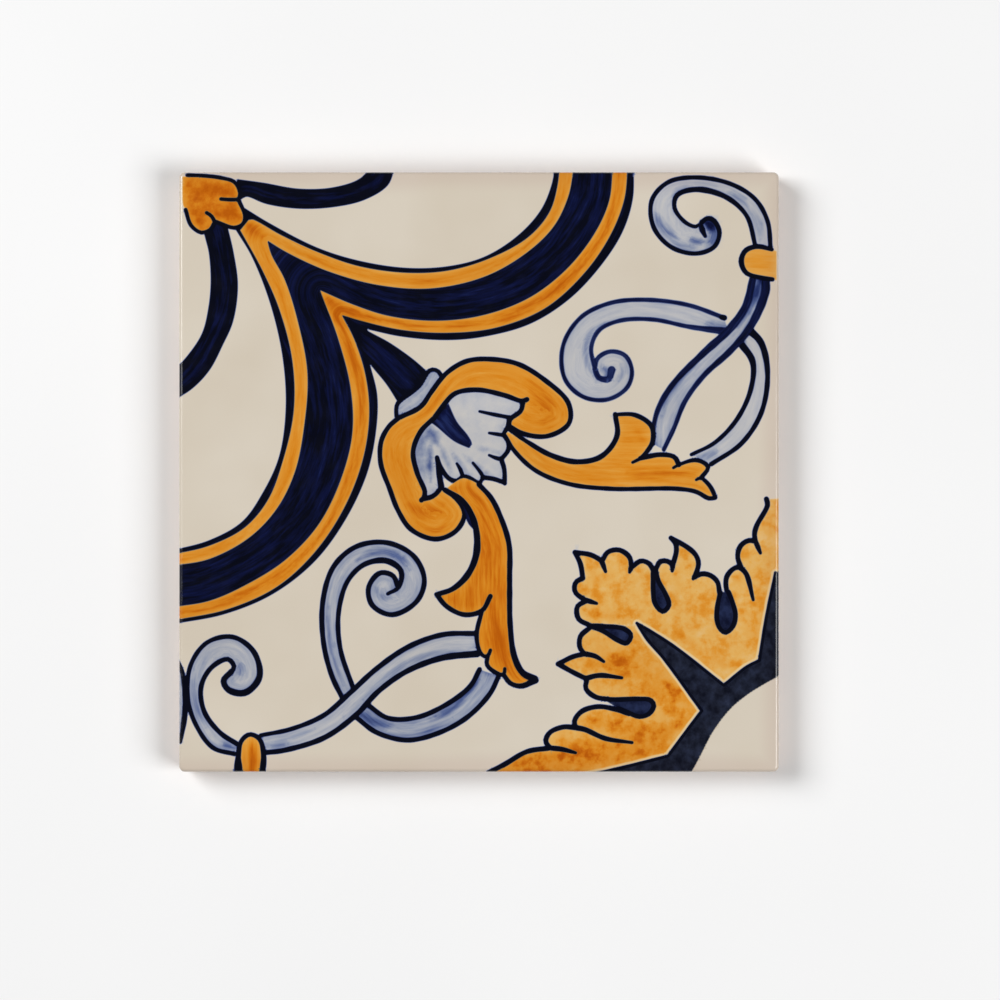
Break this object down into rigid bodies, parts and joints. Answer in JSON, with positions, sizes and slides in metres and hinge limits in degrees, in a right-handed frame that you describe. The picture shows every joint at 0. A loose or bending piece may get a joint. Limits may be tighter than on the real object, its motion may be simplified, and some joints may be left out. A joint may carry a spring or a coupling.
{
  "type": "azulejo tile",
  "caption": "Square glazed earthenware wall tile, hand-painted with a quarter rosette, leaf scrolls and a curved band, with a keyed back for mortar.",
  "frame": {"origin": "middle of the back, on the plane of the lands that the tile beds and rests on", "axes": "+Z out of the painted face; +X to the right and +Y up as the painting is seen with its corner leaf at the upper left"},
  "size_m": [0.14, 0.14, 0.008],
  "materials": {
    "glaze": "gloss"
  },
  "bodies": {
    "root": {"azulejo_tile": "glaze"}
  },
  "joints": []
}
